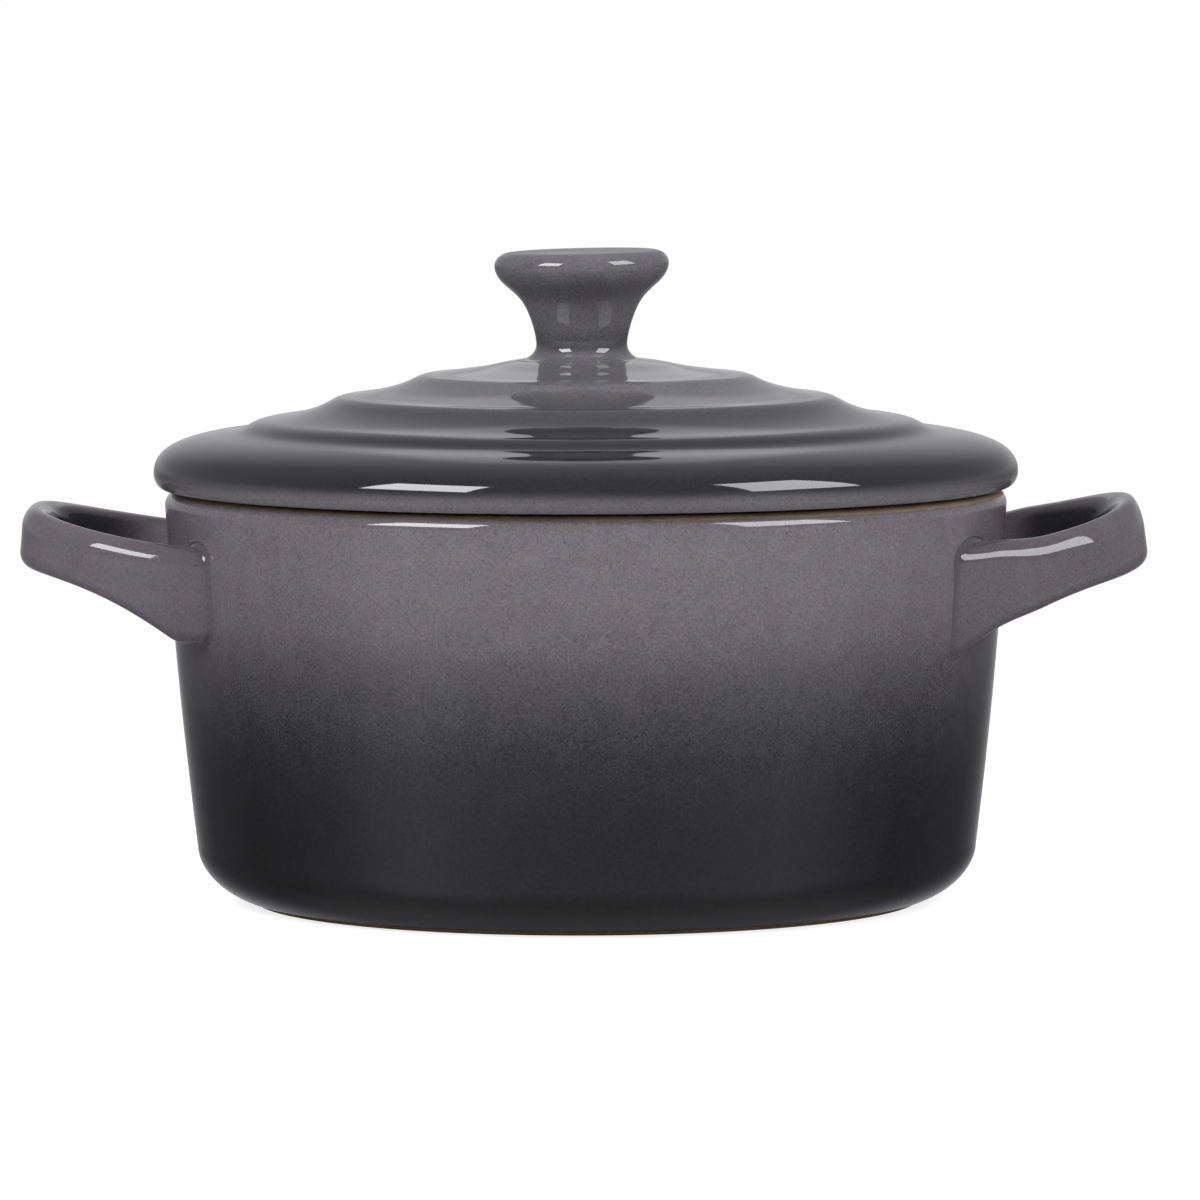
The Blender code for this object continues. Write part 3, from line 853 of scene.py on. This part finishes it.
def add_world():
    world = bpy.data.worlds.new("studio")
    bpy.context.scene.world = world
    world.use_nodes = True
    world.cycles.sampling_method = "NONE"
    tree = world.node_tree
    tree.nodes.clear()
    g = Graph(tree)
    direction = g.node("ShaderNodeTexCoord").outputs["Generated"]
    split = g.node("ShaderNodeSeparateXYZ")
    g.feed(split.inputs[0], direction)
    side, behind, height = split.outputs
    ahead = g.math("MULTIPLY", behind, -1.0)
    turn = g.ranged(g.math("ARCTAN2", side, ahead), -math.pi, math.pi, 0.0, 1.0, "LINEAR")
    low = g.ramp(turn, [((a + 180) / 360, (v, v, v * 1.06)) for a, v in ROOM_LOW], "LINEAR")
    low = g.mix(g.ranged(height, -0.55, -0.95), low, (0.32, 0.32, 0.335, 1))
    high = g.ramp(height, [(math.sin(math.radians(e)), (v, v, v * 1.03)) for e, v in ROOM_HIGH], "LINEAR")
    high = g.mix(1.0, high, g.grey(g.ranged(behind, -0.35, 0.25, 0.30, 1.0)), "MULTIPLY")
    high = g.mix(1.0, high, g.grey(g.ranged(g.math("ABSOLUTE", side), 0.08, 0.65, 1.0, 0.62)), "MULTIPLY")
    room = g.mix(g.ranged(height, -0.06, 0.10), low, high)
    path = g.node("ShaderNodeLightPath")
    toward = g.math("ADD", g.math("MULTIPLY", side, 0.242), g.math("MULTIPLY", ahead, 0.970))
    fill = g.ramp(
        g.ranged(toward, -1.0, 1.0, 0.0, 1.0, "LINEAR"),
        ((0.0, (1.5,) * 3), (0.07, (0.42,) * 3), (0.14, (0.15,) * 3), (0.3, (0.20,) * 3), (0.5, (0.46,) * 3), (1.0, (1.14,) * 3)), "LINEAR",
    )
    above = g.ranged(height, 0.0, 1.0, 0.0, 0.35, "LINEAR")
    fill = g.mix(1.0, fill, g.grey(above), "ADD")
    seen = g.mix(path.outputs["Is Diffuse Ray"], room, fill)
    seen = g.mix(path.outputs["Is Camera Ray"], seen, (1.0, 1.0, 1.0, 1))
    shader = g.node("ShaderNodeBackground")
    g.feed(shader.inputs["Color"], seen)
    out = g.node("ShaderNodeOutputWorld")
    g.links.new(shader.outputs[0], out.inputs["Surface"])


def add_strip():
    """A dim strip panel behind the pot, only seen mirrored in the lid."""
    verts = [(x, 300.0, z) for x in (-60.0, 60.0) for z in (60.0, 380.0)]
    strip = mesh_object("studio_strip", verts, [(0, 1, 3, 2)])
    material = bpy.data.materials.new("studio_strip")
    material.use_nodes = True
    tree = material.node_tree
    tree.nodes.clear()
    g = Graph(tree)
    split = g.node("ShaderNodeSeparateXYZ")
    g.feed(split.inputs[0], g.node("ShaderNodeTexCoord").outputs["Object"])
    x, _, z = split.outputs
    fade = g.ranged(g.math("ABSOLUTE", x), 0.030, 0.054, 0.28, 0.0)
    fade = g.math("MULTIPLY", fade, g.math("MULTIPLY", g.ranged(z, 0.10, 0.125), g.ranged(z, 0.37, 0.26)))
    glow = g.node("ShaderNodeEmission")
    g.feed(glow.inputs["Strength"], fade)
    clear = g.node("ShaderNodeBsdfTransparent")
    both = g.node("ShaderNodeAddShader")
    g.links.new(glow.outputs[0], both.inputs[0])
    g.links.new(clear.outputs[0], both.inputs[1])
    out = g.node("ShaderNodeOutputMaterial")
    g.links.new(both.outputs[0], out.inputs["Surface"])
    strip.data.materials.append(material)
    strip.visible_camera = strip.visible_diffuse = strip.visible_shadow = False


def add_floor():
    """A pale sweep under the pot, lost in the white of the studio further out."""
    rings, steps, reach = 24, 96, 1.6
    verts, faces = [(0.0, 0.0, 0.0)], []
    for k in range(1, rings + 1):
        r = reach * 1000 * (k / rings) ** 1.7
        for i in range(steps):
            a = 2 * math.pi * i / steps
            verts.append((r * math.cos(a), r * math.sin(a), 0.0))
    for i in range(steps):
        j = (i + 1) % steps
        faces.append((0, 1 + i, 1 + j))
        for k in range(rings - 1):
            a, b = 1 + k * steps, 1 + (k + 1) * steps
            faces.append((a + i, b + i, b + j, a + j))
    floor = mesh_object("studio_floor", verts, faces)
    floor.location.z = -0.00005
    material = bpy.data.materials.new("studio_floor")
    material.use_nodes = True
    tree = material.node_tree
    tree.nodes.clear()
    g = Graph(tree)
    coords = g.node("ShaderNodeTexCoord").outputs["Object"]
    length = g.node("ShaderNodeVectorMath", operation="LENGTH")
    g.feed(length.inputs[0], coords)
    mottle = g.noise(coords, 9.0, 2.0, 0.5)
    pale = g.ramp(mottle, ((0.3, (0.345, 0.345, 0.345)), (0.7, (0.365, 0.365, 0.365))), "LINEAR")
    plain = g.node("ShaderNodeBsdfDiffuse")
    g.feed(plain.inputs["Color"], pale)
    glow = g.node("ShaderNodeEmission")
    glow.inputs["Color"].default_value = (1.0, 1.0, 1.0, 1.0)
    glow.inputs["Strength"].default_value = 0.80
    both = g.node("ShaderNodeAddShader")
    g.links.new(plain.outputs[0], both.inputs[0])
    g.links.new(glow.outputs[0], both.inputs[1])
    clear = g.node("ShaderNodeBsdfTransparent")
    fade = g.node("ShaderNodeMixShader")
    g.feed(fade.inputs[0], g.ranged(length.outputs["Value"], 0.10, 0.30))
    g.links.new(both.outputs[0], fade.inputs[1])
    g.links.new(clear.outputs[0], fade.inputs[2])
    bounce = g.node("ShaderNodeBsdfDiffuse")
    bounce.inputs["Color"].default_value = (0.8, 0.8, 0.8, 1.0)
    path = g.node("ShaderNodeLightPath")
    pick = g.node("ShaderNodeMixShader")
    g.links.new(path.outputs["Is Camera Ray"], pick.inputs[0])
    g.links.new(bounce.outputs[0], pick.inputs[1])
    g.links.new(fade.outputs[0], pick.inputs[2])
    out = g.node("ShaderNodeOutputMaterial")
    g.links.new(pick.outputs[0], out.inputs["Surface"])
    floor.data.materials.append(material)
    floor.visible_glossy = False


# ---------------------------------------------------------------- assembly


def bends(profile, scale):
    """How sharply convex the outline is at each of its points, from 0 to 1."""
    values = []
    for i in range(len(profile)):
        a, b, c = profile[max(i - 1, 0)], profile[i], profile[min(i + 1, len(profile) - 1)]
        ax, ay, cx, cy = b[0] - a[0], b[1] - a[1], c[0] - b[0], c[1] - b[1]
        la, lc = math.hypot(ax, ay), math.hypot(cx, cy)
        if la < 1e-9 or lc < 1e-9:
            values.append(0.0)
            continue
        turn = math.asin(max(-1.0, min(1.0, (ax * cy - ay * cx) / (la * lc))))
        values.append(turn / (0.5 * (la + lc)) * scale)
    return values


def place(name, made, node, body, slot, material):
    verts, faces, marks = made
    obj = mesh_object(name, verts, faces, marks)
    obj.data.materials.append(material)
    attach(obj, body)
    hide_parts(node)
    return obj


def main():
    for obj in list(bpy.data.objects):
        bpy.data.objects.remove(obj, do_unlink=True)
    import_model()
    add_camera()

    profile = pot_profile()
    curve = bends(profile, -0.9)
    pot = turned(
        "pot", profile, 224, 1.3, 0.045,
        lambda r, z: smooth(1.0, 6.0, z) * smooth(RIM_Z, RIM_Z - 1.0, z),
        {"thin": lambda i, r, z: smooth(0.35, 1.4, curve[i])},
    )
    place("pot_stoneware", pot, "pot_body", "pot", "pot_glaze", glaze("pot_glaze", pot_tone, pot_bare, dusting=0.9, foot_shade_z=2.6))

    profile = lid_profile()
    lid_curve = bends(profile, 0.9)
    verts, faces, marks = turned(
        "lid", profile, 224, 5.2, 0.04,
        lambda r, z: smooth(SEAT_Z, SEAT_Z + 1.0, z),
        {"thin": lambda i, r, z: smooth(0.25, 1.2, lid_curve[i])},
    )
    verts = [(x, y, z - LID_TILT * x * smooth(SEAT_Z + 0.3, SEAT_Z + 6.0, z)) for x, y, z in verts]
    place("lid_stoneware", (verts, faces, marks), "lid_shell", "lid", "lid_glaze", glaze("lid_glaze", lid_tone, lid_bare, dusting=-0.3))

    profile = knob_profile()
    knob_curve = bends(profile, 0.9)
    verts, faces, marks = turned(
        "knob", profile, 128, 8.4, 0.04,
        lambda r, z: smooth(0.5, 2.5, z),
        {"thin": lambda i, r, z: smooth(0.35, 1.2, knob_curve[i]) if z > 3 else 0.0},
    )
    base_z = knob_base_z()
    verts = [
        (x + KNOB_SHIFT, y, z + base_z + KNOB_TILT * x * smooth(67.0, 73.5, z + base_z)) for x, y, z in verts
    ]
    place("knob_stoneware", (verts, faces, marks), "lid_knob", "lid", "knob_glaze", glaze("knob_glaze", knob_tone, None, knob_worn))

    strap_glaze = glaze("handle_glaze", strap_tone, ior=1.46, speckle=0.46, dusting=0.0)
    for name, node, side, shrink, fillet, seed in (
        ("loop_left_stoneware", "handle_left", -1, 1.2, 0.3, 11.0),
        ("loop_right_stoneware", "handle_right", 1, 1.0, 0.45, 17.0),
    ):
        place(name, strap_loop(side, shrink, fillet, seed), node, "pot", "handle_glaze", strap_glaze)

    add_softbox("softbox_left", -45.6, 15.6, 21.5, 44.5, 0.6, -3.2, 11.2)
    add_softbox("softbox_right", 58.7, 16.4, 17.0, 49.0, 0.6, 3.2, 7.0)
    add_world()
    add_strip()
    add_floor()
    bpy.context.scene.view_settings.view_transform = "Standard"


main()
